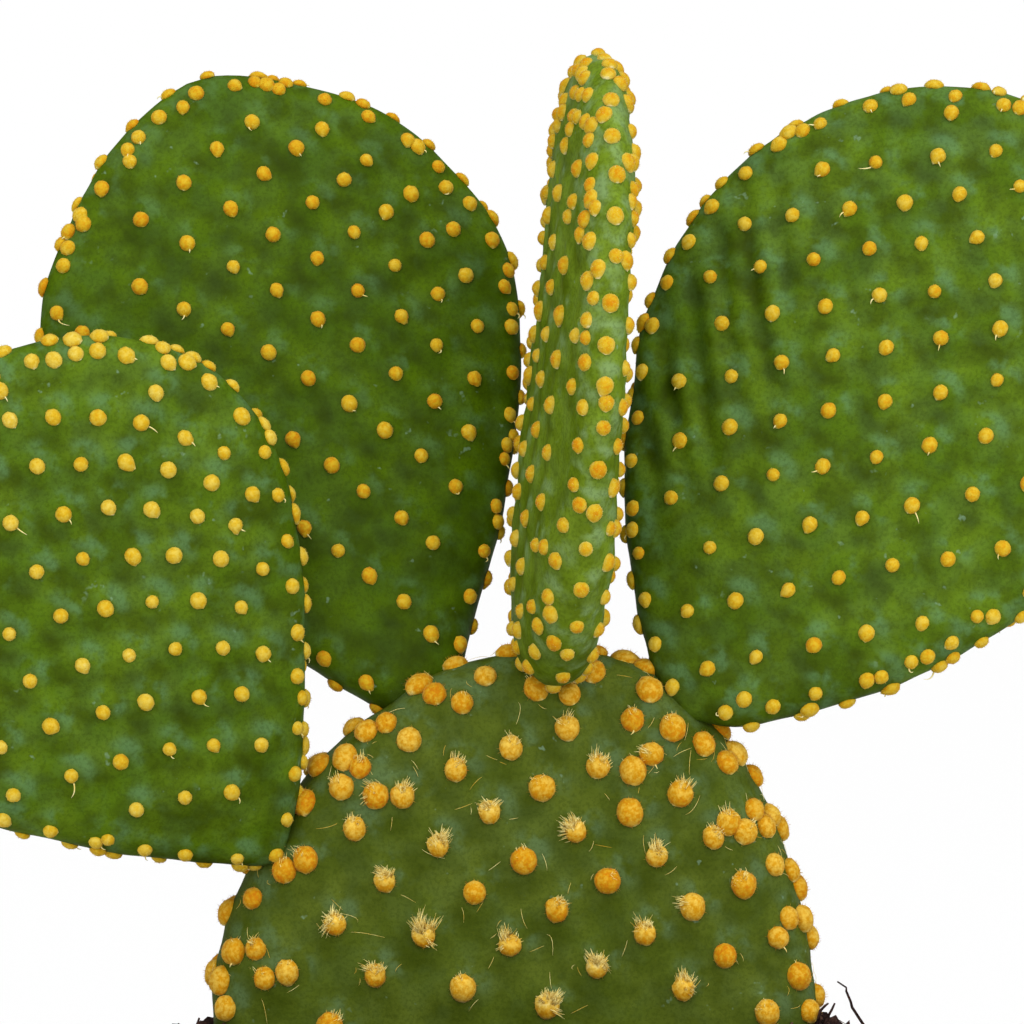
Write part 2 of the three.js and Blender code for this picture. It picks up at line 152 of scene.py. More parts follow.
def make_camera():
    data = bpy.data.cameras.new("camera")
    data.sensor_width = SENSOR
    data.lens = SENSOR * CAMERA_DISTANCE / PICTURE_WIDTH
    data.clip_start, data.clip_end = CAMERA_RANGE
    camera = show("camera", data)
    tip = radians(CAMERA_ELEVATION)
    camera.location = (
        0,
        -CAMERA_DISTANCE * cos(tip) * MM,
        (CAMERA_AIM + CAMERA_DISTANCE * sin(tip)) * MM,
    )
    camera.rotation_euler = (pi / 2 - tip, 0, 0)
    bpy.context.scene.camera = camera


def make_sun():
    """The key light: a wide soft sun above the camera and a little to its right."""
    data = bpy.data.lights.new("key", "SUN")
    data.energy = SUN_STRENGTH
    data.angle = radians(SUN_SIZE)
    turned = (90 - SUN_RISE, 0, SUN_TURN)
    show("key", data).rotation_euler = [radians(angle) for angle in turned]


def make_stage():
    """A white room and its floor."""
    scene = bpy.context.scene
    scene.view_settings.view_transform = "Standard"
    world = bpy.data.worlds.new("studio")
    world.use_nodes = True
    nodes = Nodes(world.node_tree)
    seen = nodes.add("ShaderNodeLightPath").outputs["Is Camera Ray"]
    background = world.node_tree.nodes["Background"]
    background.inputs["Color"].default_value = (1, 1, 1, 1)
    nodes.put(background.inputs["Strength"], nodes.ramp(seen, 0, 1, ROOM_LIGHT, 1))
    scene.world = world
    make_sun()

    square = ((-1, -1), (1, -1), (1, 1), (-1, 1))
    mesh = bpy.data.meshes.new("floor")
    mesh.from_pydata([(FLOOR_REACH * x, FLOOR_REACH * y, 0) for x, y in square], [], [range(4)])
    material, shader, _ = new_material("floor", 0.9)
    shader.inputs["Base Color"].default_value = (FLOOR_WHITE, FLOOR_WHITE, FLOOR_WHITE, 1)
    mesh.materials.append(material)
    show("floor", mesh)


# ---- Materials ----


def srgb(red, green, blue):
    """A colour given as 0 to 255 on a screen, as the linear colour that shaders take."""
    parts = [value / 255 for value in (red, green, blue)]
    linear = [v / 12.92 if v <= 0.04045 else ((v + 0.055) / 1.055) ** 2.4 for v in parts]
    return (*linear, 1)


def new_material(name, roughness, shine=0.3):
    material = bpy.data.materials.new(name)
    material.use_nodes = True
    shader = material.node_tree.nodes["Principled BSDF"]
    shader.inputs["Roughness"].default_value = roughness
    shader.inputs["Specular IOR Level"].default_value = shine
    return material, shader, Nodes(material.node_tree)


class Nodes:
    """Adds nodes to a material or a world. All but add, put and bump return a socket."""

    def __init__(self, tree):
        self.tree = tree
        self.place = self.add("ShaderNodeTexCoord").outputs["Object"]

    def add(self, kind, inputs=(), **settings):
        node = self.tree.nodes.new(kind)
        for key, value in settings.items():
            setattr(node, key, value)
        for key, value in dict(inputs).items():
            self.put(node.inputs[key], value)
        return node

    def put(self, socket, value):
        """value is another socket, a number, a list of them or a colour from 0 to 255."""
        if isinstance(value, bpy.types.NodeSocket):
            self.tree.links.new(value, socket)
        else:
            socket.default_value = srgb(*value) if isinstance(value, tuple) else value

    def attribute(self, name):
        return self.add("ShaderNodeAttribute", attribute_name=name).outputs["Fac"]

    def noise(self, size, detail=3, rough=0.55, stretch=(1, 1, 1)):
        """Cloudy noise whose spots are about size millimetres wide."""
        scaled = self.add("ShaderNodeMapping", {
            "Vector": self.place, "Scale": [1 / s for s in stretch]})
        return self.add("ShaderNodeTexNoise", {
            "Vector": scaled.outputs["Vector"], "Scale": 1 / (size * MM), "Detail": detail,
            "Roughness": rough}).outputs["Fac"]

    def ramp(self, value, low, high, out_low=0, out_high=1):
        """Maps low..high smoothly to out_low..out_high, and holds the ends."""
        keys = ("Value", "From Min", "From Max", "To Min", "To Max")
        inputs = zip(keys, (value, low, high, out_low, out_high))
        node = self.add("ShaderNodeMapRange", inputs, interpolation_type="SMOOTHSTEP")
        return node.outputs["Result"]

    def plus(self, first, second, operation="ADD"):
        inputs = {0: first, 1: second}
        return self.add("ShaderNodeMath", inputs, operation=operation).outputs[0]

    def times(self, first, second):
        return self.plus(first, second, "MULTIPLY")

    def mix(self, part, first, second):
        inputs = {"Factor": part, 6: first, 7: second}
        return self.add("ShaderNodeMix", inputs, data_type="RGBA").outputs[2]

    def stops(self, value, *colours):
        """A colour ramp through (place, colour) stops."""
        node = self.add("ShaderNodeValToRGB", {"Fac": value})
        elements = node.color_ramp.elements
        while len(elements) < len(colours):
            elements.new(0.5)
        for element, (place, colour) in zip(elements, colours):
            element.position = place
            element.color = srgb(*colour)
        return node.outputs["Color"]

    def bump(self, shader, height, depth, strength):
        """Roughens the surface by depth millimetres of height."""
        node = self.add("ShaderNodeBump", {
            "Strength": strength, "Distance": depth * MM, "Height": height})
        self.put(shader.inputs["Normal"], node.outputs["Normal"])


# How wide the spots of the skin's colours are
BLOTCHES = 9
# the painted shade at the tufts is broken up by clouds this wide
PAINTED_SHADE_CLOUDS = 6
PATCHES = 3.8
WAX_SPOTS = 3.2
FLECKS = 1.5
GRAIN = 0.5
SKIN_DIMPLES = (0.9, 2.6)
DIMPLE_DEPTH = 0.14

TUFT_SPECKS = 0.6
TUFT_GRAIN = 0.18


def skin_material(name, light, deep, hollow, bloom, bloom_highlight_part):
    """Waxy green skin, blotched and flecked, with painted shade at and below the tufts and in
    folds, and pale wax bloom with painted highlight above them.
    """
    material, shader, nodes = new_material(name, 0.6, 0.06)
    colour = nodes.mix(nodes.ramp(nodes.noise(BLOTCHES, 2), 0.38, 0.62), deep, light)
    patch = nodes.ramp(nodes.noise(PATCHES, 2, 0.5), 0.4, 0.7, 0, 0.5)
    # random darker patches, in the same dark green as the painted shade
    colour = nodes.mix(patch, colour, hollow)
    # painted shade below and round the tufts, in the folds and at the foot of young pads
    shade_breakup = nodes.ramp(nodes.noise(PAINTED_SHADE_CLOUDS, 2), 0.36, 0.6, 0.2, 0.85)
    colour = nodes.mix(nodes.times(nodes.attribute("hollow"), shade_breakup), colour, hollow)
    # wax bloom, with a painted highlight on the lit slope of each mound and on skin that faces
    # up
    wax_and_highlight = nodes.ramp(nodes.noise(WAX_SPOTS, 3, 0.5), 0.4, 0.62)
    wax_and_highlight = nodes.times(wax_and_highlight, nodes.ramp(nodes.attribute("bloom"), 0, 0.9, 0.12, 1))
    colour = nodes.mix(nodes.times(wax_and_highlight, bloom_highlight_part), colour, bloom)
    fleck = nodes.ramp(nodes.noise(FLECKS, 2, 0.5), 0.68, 0.76)
    fleck = nodes.times(fleck, nodes.ramp(nodes.noise(BLOTCHES, 2), 0.5, 0.58, 0, 0.45))
    colour = nodes.mix(fleck, colour, (124, 154, 126))
    grain = nodes.ramp(nodes.noise(GRAIN, 3, 0.65), 0.36, 0.56, 0.3, 0)
    nodes.put(shader.inputs["Base Color"], nodes.mix(grain, colour, (40, 54, 0)))
    dimples = nodes.plus(*[nodes.noise(size, 2) for size in SKIN_DIMPLES])
    nodes.bump(shader, dimples, DIMPLE_DEPTH, 0.5)
    return material


def tuft_material(name, *colours):
    """Bristles whose colour runs from burnt orange to cream with their shade."""
    material, shader, nodes = new_material(name, 0.8, 0.08)
    for key, value in (("Weight", 0.16), ("Roughness", 0.4), ("Tint", (255, 236, 178))):
        nodes.put(shader.inputs["Sheen " + key], value)
    drift = nodes.ramp(nodes.noise(BLOTCHES), 0, 1, -0.1, 0.1)
    speck = nodes.ramp(nodes.noise(TUFT_SPECKS, 3, 0.6), 0.32, 0.66, -0.15, 0.12)
    shade = nodes.plus(nodes.plus(nodes.attribute("shade"), drift), speck)
    nodes.put(shader.inputs["Base Color"], nodes.stops(shade, *colours))
    nodes.bump(shader, nodes.noise(TUFT_GRAIN, 1), 0.1, 0.55)
    return material


# ---- Making a piece ----


def make_piece(name, points, faces, material, slot, replaced=(), **attributes):
    """A shown piece from points in millimetres and groups of equal-sided faces."""
    mesh = bpy.data.meshes.new(name)
    faces = [face for part in faces for face in np.asarray(part).tolist()]
    mesh.from_pydata(np.asarray(points) * MM, [], faces)
    mesh.shade_smooth()
    for key, values in attributes.items():
        layer = mesh.attributes.new(key, "FLOAT", "POINT")
        layer.data.foreach_set("value", np.asarray(values, np.float32).ravel())
    mesh.validate()
    mesh.materials.append(material)
    piece = show(name, mesh)
    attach(piece, "root")
    if replaced:
        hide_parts(*replaced)
    return piece


class Parts:
    """Gathers many small shapes into the points, faces and values of one piece."""

    def __init__(self):
        self.points = []
        self.faces = []
        self.values = []
        self.count = 0

    def add(self, points, faces, values):
        """points is (n, 3) or (copies, n, 3); faces index the n points of one copy."""
        points = np.asarray(points, float)
        points = points.reshape(-1, *points.shape[-2:])
        copies, size = points.shape[:2]
        shift = self.count + size * np.arange(copies)
        for part in faces:
            part = np.asarray(part, int)
            self.faces.append((part + shift[:, None, None]).reshape(-1, part.shape[1]))
        self.points.append(points.reshape(-1, 3))
        self.values.append(np.broadcast_to(values, (copies, size)).reshape(-1))
        self.count += copies * size

    def piece(self, name, material, slot, replaced=()):
        make_piece(
            name, np.concatenate(self.points), self.faces, material, slot, replaced,
            shade=np.concatenate(self.values),
        )


# ---- Shapes ----

WAVE_COUNT = 14
WAVE_LENGTHS = (1.3, 2.6)  # as parts of the size that is asked for
WAVE_PEAK = 1.6  # how high their sum usually goes, in its own spread
DOME_TILT = radians(112)  # of its last ring, from its top
ASKEW = (0.24, 0.57, 0.79)  # a way that few bristles take
ASKEW_TUBE = (0.31, 0.82, 0.47)
TUBE_SIDES = 4


def unit(vectors):
    return vectors / np.maximum(norm(vectors, axis=-1, keepdims=True), 1e-9)


def circle(sides):
    return 2 * pi * np.arange(sides) / sides


def rays(tilt, turn):
    """Unit vectors that lean from +Z by tilt, towards turn."""
    out = np.sin(tilt)
    return np.stack([out * np.cos(turn), out * np.sin(turn), np.cos(tilt)], -1)


def hump(values, middle, width):
    return np.exp(-(((values - middle) / width) ** 2))


def waves(points, size, seed):
    """Smooth lumps about size millimetres wide, between about -1 and 1, at points."""
    draw = np.random.default_rng(seed)
    directions = unit(draw.normal(size=(WAVE_COUNT, 3)))
    numbers = 2 * pi / (size * draw.uniform(*WAVE_LENGTHS, WAVE_COUNT))
    phases = draw.uniform(0, 2 * pi, WAVE_COUNT)
    total = np.zeros(points.shape[:-1])
    for direction, number, phase in zip(directions, numbers, phases):
        total += np.sin(points @ direction * number + phase)
    return total / sqrt(WAVE_COUNT / 2) / WAVE_PEAK


def net_faces(rows, columns, flip=False):
    """The faces of a net of closed rows, and the fans that join its first and its last row
    to the two points after the net's."""
    index = np.arange(rows * columns).reshape(rows, columns)
    right = np.roll(index, -1, axis=1)
    quads = np.stack([index[:-1], right[:-1], right[1:], index[1:]], -1).reshape(-1, 4)
    first, last = [np.full(columns, index.size + end) for end in (0, 1)]
    fans = np.concatenate([
        np.stack([first, right[0], index[0]], -1), np.stack([last, index[-1], right[-1]], -1)])
    return [quads[:, (0, 3, 2, 1)], fans[:, ::-1]] if flip else [quads, fans]


def dome(rings, sides):
    """A closed dome of unit radius: points (x, y, z), their share of the way from the top, and
    faces. Its last ring lies below its middle, in the skin."""
    way = np.linspace(0, 1, rings + 1)[1:]
    points = rays(*np.meshgrid(way * DOME_TILT, circle(sides), indexing="ij")).reshape(-1, 3)
    points = np.concatenate([points, [(0, 0, 1), (0, 0, cos(DOME_TILT))]])
    return points, np.append(np.repeat(way, sides), [0, 1]), net_faces(rings, sides, flip=True)


def crosswise(ways, other):
    """Two unit vectors square to each way and to each other."""
    side = unit(np.cross(ways, other))
    return side, np.cross(ways, side)


def tube(line, radii):
    """A closed tapered tube along a line, as points and faces."""
    side, over = crosswise(unit(np.gradient(line, axis=0)), ASKEW_TUBE)
    turn = circle(TUBE_SIDES)[:, None]
    ring = side[:, None] * np.cos(turn) + over[:, None] * np.sin(turn)
    points = (line[:, None] + ring * radii[:, None, None]).reshape(-1, 3)
    caps = [range(TUBE_SIDES)[::-1], range(len(points) - TUBE_SIDES, len(points))]
    return points, [net_faces(len(line), TUBE_SIDES)[0], caps]


# ---- The form of a pad ----

def midline_offset(pad, along):
    return pad["bend"] * pad["length"] * np.sin(pi * along)


def half_width_at(pad, along):
    return pad["half_width"] * np.sin(pi * along ** pad["peak"]).clip(0) ** pad["round"]


def half_thickness_at(pad, along):
    ends = np.sqrt((1 - np.abs(2 * along - 1) ** pad["ends"]).clip(0))
    return pad["half_thickness"] * (1 + pad["taper"] * (0.5 - along)) * ends


def skin_point(pad, rise, turn):
    """A point on the skin. rise goes from 0 at the foot to pi at the top, and turn goes once
    round the pad from its right margin by the back."""
    along = (1 - np.cos(rise)) / 2
    across = np.cos(turn)
    depth = np.sign(np.sin(turn)) * np.sqrt((1 - np.abs(across) ** pad["margin"]).clip(0))
    return np.stack([
        midline_offset(pad, along) + half_width_at(pad, along) * across,
        half_thickness_at(pad, along) * depth,
        pad["length"] * along + 0 * across,
    ], -1)


def skin_slopes(pad, rise, turn, step=0.01):
    """How fast the skin runs along its rise and along its turn, and its outward normal."""
    up = skin_point(pad, rise + step, turn) - skin_point(pad, rise - step, turn)
    about = skin_point(pad, rise, turn + step) - skin_point(pad, rise, turn - step)
    speeds = [norm(way, axis=-1) / (2 * step) for way in (up, about)]
    return *speeds, unit(np.cross(about, up))


def placed(pad, points):
    """Points or directions of the pad's own frame, turned as it stands in the pot."""
    tilt, lean, yaw = [radians(pad[key]) for key in ("tilt", "lean", "yaw")]
    turned = Matrix.Rotation(tilt, 3, "Y") @ Matrix.Rotation(lean, 3, "X")
    turned = turned @ Matrix.Rotation(yaw, 3, "Z")
    return points @ np.array(turned).T


def root_of(pad):
    return np.array(pad["root"], float) + (0, 0, PLANT_HEIGHT)


def standing_skin(pad, rise, turn):
    """The skin's points as the pad stands in the pot."""
    return placed(pad, skin_point(pad, rise, turn)) + root_of(pad)


def in_own_frame(pad, points):
    return (points - root_of(pad)) @ placed(pad, np.eye(3)).T


def inside_pad(pad, points, margin):
    """Which points of the pot's frame lie in the pad, or nearer to it than margin."""
    x, y, z = in_own_frame(pad, points).T
    along = (z / pad["length"]).clip(0.01, 0.99)
    offset = np.abs(x - midline_offset(pad, along))
    across = (offset / half_width_at(pad, along)).clip(0, 1)
    depth = half_thickness_at(pad, along) * np.sqrt(1 - across ** pad["margin"])
    beside = (offset < half_width_at(pad, along) + margin) & (np.abs(y) < depth + margin)
    return beside & (z > -margin) & (z < pad["length"] + margin)


# ---- Where the tufts stand ----

CROWD_TRIES = 420  # tries to fill the margin up with more tufts than the solids have
CROWD_FOOT = 0.12  # part of the tries kept at the foot, where all are at the top
CROWD_ROOM = 1.45  # these tufts keep this many radii from any other
CROWD_SEED = 300
LEAST_INSET = 0.05
TUFT_BURIAL = 0.5  # a tuft whose middle lies deeper in the soil isn't shown
TUFT_COVER = 0.4  # nor one that another pad comes nearer to than this part of its radius


def face_spot(pad, x, z, side):
    along = z / pad["length"]
    if not 0 < along < 1:
        return None
    across = (x - midline_offset(pad, along)) / half_width_at(pad, along)
    if abs(across) >= 1:
        return None
    return acos(1 - 2 * along), side * acos(across)


def cell_area(first, second):
    return first[0] * second[1] - first[1] * second[0]


def face_spots(pad, side):
    """The crossings of the two families of rows on one face. The back's rows run the other
    way and half a step on."""
    start, first, second = [np.array(pad[key]) for key in ("start", "first", "second")]
    bends = np.array(pad["bends"])
    shift = 0 if side < 0 else 0.5
    spots = []
    for i in np.arange(-ROWS_EACH_WAY, ROWS_EACH_WAY + 1) + shift:
        for j in np.arange(-ROWS_EACH_WAY, ROWS_EACH_WAY + 1) + shift:
            x, z = (start + i * first + j * second
                    + i * i * bends[0] + i * j * bends[1] + j * j * bends[2])
            step_i = first + 2 * i * bends[0] + j * bends[1]
            step_j = second + 2 * j * bends[2] + i * bends[1]
            mirrored = 2 * midline_offset(pad, z / pad["length"]) - x
            spot = face_spot(pad, x if side < 0 else mirrored, z, side)
            if spot and cell_area(step_i, step_j) / cell_area(first, second) > ROW_OPENNESS:
                spots.append(spot)
    return spots


def outline_of(pad):
    """The very edge as rises, turns and points: up the right side and down the left one."""
    steps = np.arange(1, 2 * OUTLINE_STEPS)
    turns = np.where(steps < OUTLINE_STEPS, 0, pi)
    rises = pi * np.minimum(steps, 2 * OUTLINE_STEPS - steps) / OUTLINE_STEPS
    return rises, turns, skin_point(pad, rises, turns)


def inward_of(step):
    return unit(np.array([-step[2], 0, step[0]]))


def edge_spots(pad):
    """Spots round the margin: one on the very edge, then one on each side of it, and so on."""
    rises, turns, outline = outline_of(pad)
    spots = []
    way = 0
    on_edge = True
    for k in range(1, len(outline)):
        step = outline[k] - outline[k - 1]
        way += norm(step)
        if way > pad["edge_step"]:
            x, _, z = outline[k] + inward_of(step) * pad["edge_inset"]
            beside = [face_spot(pad, x, z, side) for side in (-1, 1)]
            spots += [(rises[k], turns[k])] if on_edge else [spot for spot in beside if spot]
            way -= pad["edge_step"]
            on_edge = not on_edge
    return spots


def crowd_spots(pad):
    """More spots near the edge, which fill the margin up where they find room. They are
    thickest over the top."""
    draw = np.random.default_rng(CROWD_SEED + pad["seed"])
    rises, _, outline = outline_of(pad)
    ways = norm(np.diff(outline, axis=0), axis=1)
    spots = []
    for k in draw.choice(len(ways), CROWD_TRIES, p=ways / ways.sum()):
        along = (1 - cos(rises[k])) / 2
        if draw.random() > CROWD_FOOT + (1 - CROWD_FOOT) * along**2:
            continue
        inset = abs(draw.normal()) * pad["edge_inset"] * pad["crowd"]
        inward = inward_of(outline[k + 1] - outline[k])
        x, _, z = outline[k] + inward * max(inset, LEAST_INSET)
        spot = face_spot(pad, x, z, draw.choice([-1, 1]))
        if spot:
            spots.append(spot)
    return spots


def make_draw(seed):
    """A small seeded generator: the same draws each time, evenly between 0 and 1."""
    mask = 0xFFFFFFFF
    state = seed

    def draw():
        nonlocal state
        state = (state + 0x6D2B79F5) & mask
        t = ((state ^ (state >> 15)) * (1 | state)) & mask
        t = ((t + (((t ^ (t >> 7)) * (61 | t)) & mask)) & mask) ^ t
        return (t ^ (t >> 14)) / (mask + 1)

    return draw


def tufts_of(pad):
    """The tufts of a pad as arrays: rise, turn and size, in its own frame."""
    draw = make_draw(pad["seed"])
    spots = edge_spots(pad)
    taken = [skin_point(pad, rise, turn) for rise, turn in spots]
    cell = sqrt(abs(cell_area(pad["first"], pad["second"])))
    for more, room in (
        (face_spots(pad, -1) + face_spots(pad, 1), FACE_CROWDING * cell),
        (crowd_spots(pad), CROWD_ROOM * pad["tuft_radius"]),
    ):
        for rise, turn in more:
            point = skin_point(pad, rise, turn)
            if norm(np.array(taken) - point, axis=1).min() > room:
                spots.append((rise, turn))
                taken.append(point)
    rise, turn = np.array(spots).T
    strays = np.array([[2 * draw() - 1 for _ in range(3)] for _ in spots])
    up, about, _ = skin_slopes(pad, rise, turn)
    rise = rise + TUFT_SCATTER * strays[:, 0] / up
    turn = turn + TUFT_SCATTER * strays[:, 1] / about
    return rise, turn, 1 + TUFT_SPREAD * strays[:, 2]


def soil_height(x, y):
    to_plant = np.hypot((np.abs(x) - SOIL_RIDGE).clip(0), y)
    to_wall = (pot_inner_radius(POT_HEIGHT) - np.hypot(x, y)).clip(0)
    reach = to_plant / (to_plant + to_wall)
    lumps = np.sin(0.31 * x + 1.3) * np.sin(0.27 * y - 0.4)
    lumps = lumps + 0.7 * np.sin(0.52 * x - 0.47 * y + 2.1)
    return PLANT_HEIGHT + SOIL_CROWN - SOIL_FALL * reach**SOIL_FALL_POWER + SOIL_LUMP * lumps


def pot_inner_radius(z):
    slope = (POT_NECK_RADIUS - POT_BASE_RADIUS) / (POT_HEIGHT - COLLAR_HEIGHT)
    return POT_BASE_RADIUS - POT_WALL + slope * z


class Tufts:
    """The shown tufts of a pad in the pot's frame: feet on the plain skin, middles on the
    mounds, normals, up-ways, sizes, and how far in they stand from the margin, up to 1."""

    def __init__(self, pad):
        rise, turn, size = tufts_of(pad)
        foot = standing_skin(pad, rise, turn)
        shown = foot[:, 2] > soil_height(foot[:, 0], foot[:, 1]) - TUFT_BURIAL
        for other in PADS:
            if other is not pad:
                shown &= ~inside_pad(other, foot, TUFT_COVER * pad["tuft_radius"])
        self.foot = foot[shown]
        self.size = size[shown]
        self.normal = placed(pad, skin_slopes(pad, rise, turn)[2])[shown]
        self.inward = (np.sin(rise) * np.abs(np.sin(turn)))[shown]
        pad_up = placed(pad, np.array([[0, 0, 1.0]]))
        self.up = unit(pad_up - (self.normal * pad_up).sum(-1, keepdims=True) * self.normal)
        self.middle = self.foot + self.normal * skin_lift(pad, self, self.foot)[0][:, None]


# ---- The skin of a pad ----

SKIN_STEP = 0.62  # between the skin's points
LINE_STEPS = 4000  # along half of a pad's outline, to walk it evenly
MOUND_RADIUS = 2.3  # of the mound under a tuft, as a part of the tuft's own radius
MOUND_REACH = 3.4  # but no mound is wider than this
MOUND_HEIGHT = 0.26  # of the mound, as a part of its radius
MOUND_LIMIT = 0.95  # mounds that run together rise no higher
SKIN_SINK = 0.46  # the skin between the mounds lies this much deeper than the solid
SWELLS = ((0.22, 13), (0.08, 4))  # heights and widths of the skin's broad lumps
PAINTED_LIGHT_WAY = (0.6, 0.8)  # to the right and up: a mound's slope that faces this way gets wax bloom and painted highlight, the other slope painted shade
BLOOM_HIGHLIGHT_RING = (0.8, 0.4)  # its middle and its width, as parts of the mound's radius
# painted shade lies on the mound's other slope, in this ring
PAINTED_SHADE_RING = (1.1, 0.6)
CONTACT_SHADOW_RING = 1.5  # a tuft paints a shadow on the skin round it out to this many radii
CONTACT_SHADOW_DARKNESS = (0.6, 0.4)  # how dark that painted shadow is beside the tuft, and how much more below it
PAINTED_SHADE_CROWD = 1.3  # where mounds add up to this height, the painted shade at the tufts fades
TOP_BLOOM_HIGHLIGHT = 0.6  # wax bloom and painted highlight on skin that faces up
SHADED_FOOT_RISE = 1.7  # young pads get painted shade below this rise
FOOT_PAINTED_SHADE = 1.1  # and at their foot this much, where the painted shade at a tuft has up to 1

# The folds on the inner flank of one pad: their middle and reach, sideways and up the pad
FOLDED_PAD = "pad_right"
FOLD_MIDDLE = (-22, 46)
FOLD_REACH = (9, 24)
FOLD_STEP = 4.1
FOLD_SLANT = 0.05
FOLD_WAVER = 1.4
FOLD_DEPTH = 0.48
FOLD_PAINTED_SHADE = 2.6  # painted shade in the folds: how much darker, for each millimetre of depth


def even_steps(line, values):
    """Values that step evenly along a line by about SKIN_STEP, from its first to its last."""
    way = np.append(0, np.cumsum(norm(np.diff(line, axis=0), axis=1)))
    return np.interp(np.linspace(0, way[-1], int(way[-1] / SKIN_STEP) + 1), way, values)


def folds_at(pad, points):
    """Shallow upright folds, as the height of the skin over them."""
    if pad["name"] != FOLDED_PAD:
        return np.zeros(len(points))
    flank = hump(in_own_frame(pad, points)[:, ::2], FOLD_MIDDLE, FOLD_REACH).prod(axis=1)
    phase = 2 * pi * (points[:, 0] + FOLD_SLANT * points[:, 2]) / FOLD_STEP
    return FOLD_DEPTH * flank * np.sin(phase + FOLD_WAVER * waves(points, 16, 5))


def skin_lift(pad, tufts, points):
    """How far the skin stands out at points, how much painted shade they get below and round a
    tuft and in the folds, and how much wax bloom and painted highlight on the slope above a
    tuft."""
    reach = min(pad["tuft_radius"] * MOUND_RADIUS, MOUND_REACH)
    mound, hollow, bloom = np.zeros((3, len(points)))
    for foot, size in zip(tufts.foot, tufts.size):
        near = (np.abs(points - foot) < 3 * reach).all(axis=1)
        away = points[near] - foot
        distance = norm(away, axis=1)
        mound[near] += MOUND_HEIGHT * reach * size * hump(distance, 0, reach)
        # how far a point lies on the mound's slope towards the painted light, or away from it
        # on the shaded side
        lit_side = PAINTED_LIGHT_WAY[0] * away[:, 0] + PAINTED_LIGHT_WAY[1] * away[:, 2]
        lit_side = lit_side / np.maximum(distance, 0.3)
        # low is the ring of painted shade on the mound's lower slope, high the ring of bloom
        # and painted highlight on its lit slope
        low, high = [hump(distance, middle * reach, width * reach)
                     for middle, width in (PAINTED_SHADE_RING, BLOOM_HIGHLIGHT_RING)]
        # a painted contact shadow round the tuft, darker below it
        contact_shadow = np.exp(-((distance / (CONTACT_SHADOW_RING * pad["tuft_radius"] * size)) ** 4))
        contact_shadow = contact_shadow * (CONTACT_SHADOW_DARKNESS[0] - CONTACT_SHADOW_DARKNESS[1] * lit_side)
        low = np.maximum(low * (-lit_side).clip(0), contact_shadow)
        hollow[near] = np.maximum(hollow[near], low)
        bloom[near] = np.maximum(bloom[near], high * lit_side.clip(0))
    swell = sum(height * waves(points, width, pad["seed"] + k)
                for k, (height, width) in enumerate(SWELLS))
    folds = folds_at(pad, points)
    lift = MOUND_LIMIT * np.tanh(mound / MOUND_LIMIT) - SKIN_SINK + swell + folds
    # the painted shade fades on crowded mounds, and painted shade lies in the bottoms of the
    # folds
    hollow = hollow * hump(mound, 0, PAINTED_SHADE_CROWD) - FOLD_PAINTED_SHADE * folds.clip(-1, 0)
    return lift, hollow.clip(0, 1), bloom.clip(0, 1)


def make_skin(pad, tufts, material, slot):
    rise = np.linspace(0, pi, LINE_STEPS)
    rise = even_steps(skin_point(pad, rise, pi / 2 + 0 * rise), rise)[1:-1]
    turn = np.linspace(0, 2 * pi, 2 * LINE_STEPS + 1)
    turn = even_steps(skin_point(pad, np.full_like(turn, pi / 2), turn), turn)[:-1]
    rise, turn = np.meshgrid(rise, turn, indexing="ij")
    points = standing_skin(pad, rise, turn).reshape(-1, 3)
    normal = placed(pad, skin_slopes(pad, rise, turn)[2]).reshape(-1, 3)

    lift, hollow, bloom = skin_lift(pad, tufts, points)
    # wax bloom and painted highlight on skin that faces up
    bloom = np.maximum(bloom, TOP_BLOOM_HIGHLIGHT * normal[:, 2].clip(0))
    # painted shade on the lower part of young pads
    if slot == "young_pad":
        hollow = np.maximum(hollow, FOOT_PAINTED_SHADE * (1 - rise.reshape(-1) / SHADED_FOOT_RISE).clip(0))
    ends = standing_skin(pad, np.array([0, pi]), np.array([0, 0]))
    make_piece(
        pad["name"] + "_skin", np.concatenate([points + normal * lift[:, None], ends]),
        net_faces(*rise.shape), material, slot, (pad["name"],),
        hollow=np.append(hollow, [0, 0]), bloom=np.append(bloom, [0, 0]),
    )


# ---- Bristle tufts ----

TUFT_SEED = 1000
TUFT_LIFT = 0.12  # tufts lean up the pad by this
TUFT_LENGTHS = (0.98, 1.12)  # up the pad, as parts of the width
MARGIN_DEPTH = 0.35  # tufts that stand less far in are wider and paler
MARGIN_PALE = 0.04
FRAY_DEPTH = 0.3  # only tufts that stand farther in are frayed
FRAY_SHRINK = 0.14

BEAK_SWAY = 0.3
BEAK_WIDTH = 0.4  # radians round the ball
BEAK_SHADE = 0.7
BALL_LUMPS = 0.04  # as a part of the radius
BALL_SHADES = 0.09  # how much lighter or darker a ball may be
WORN_LUMPS = 0.1  # where the ball is frayed
WORN_SHADE = 0.36
FUZZ_END = 1.15  # how far down the ball it goes: to its middle at 1
FUZZ_SHADES = 0.14

LONG_WISPS = 0.12  # part of the wisps
WISP_LENGTHS = ((0.6, 1.1), (1.6, 2.6))  # of short and of long wisps
WISP_STEPS = 8
HAIR_STEPS = 6
HAIR_LENGTHS = (0.9, 2.6)
HAIR_REACH = (2, 3.6)  # from the tuft's middle

SPIKE_FACES = [np.array([(0, 1, 3), (1, 2, 3), (2, 0, 3), (2, 1, 0)])]
BRISTLE_STATIONS = (0, 0.5, 1)
BRISTLE_THICKNESS = (0.06, 0.1)
BRISTLE_FACES = [net_faces(3, 3)[0], np.array([(2, 1, 0), (6, 7, 8)])]


def spikes(foot, tip, radius):
    """Slim three-sided closed spikes from foot points to tips, as (n, 4, 3) points."""
    side, over = crosswise(unit(tip - foot), ASKEW)
    corners = [foot + radius * (side * cos(a) + over * sin(a)) for a in circle(3)]
    return np.stack([*corners, tip], -2)


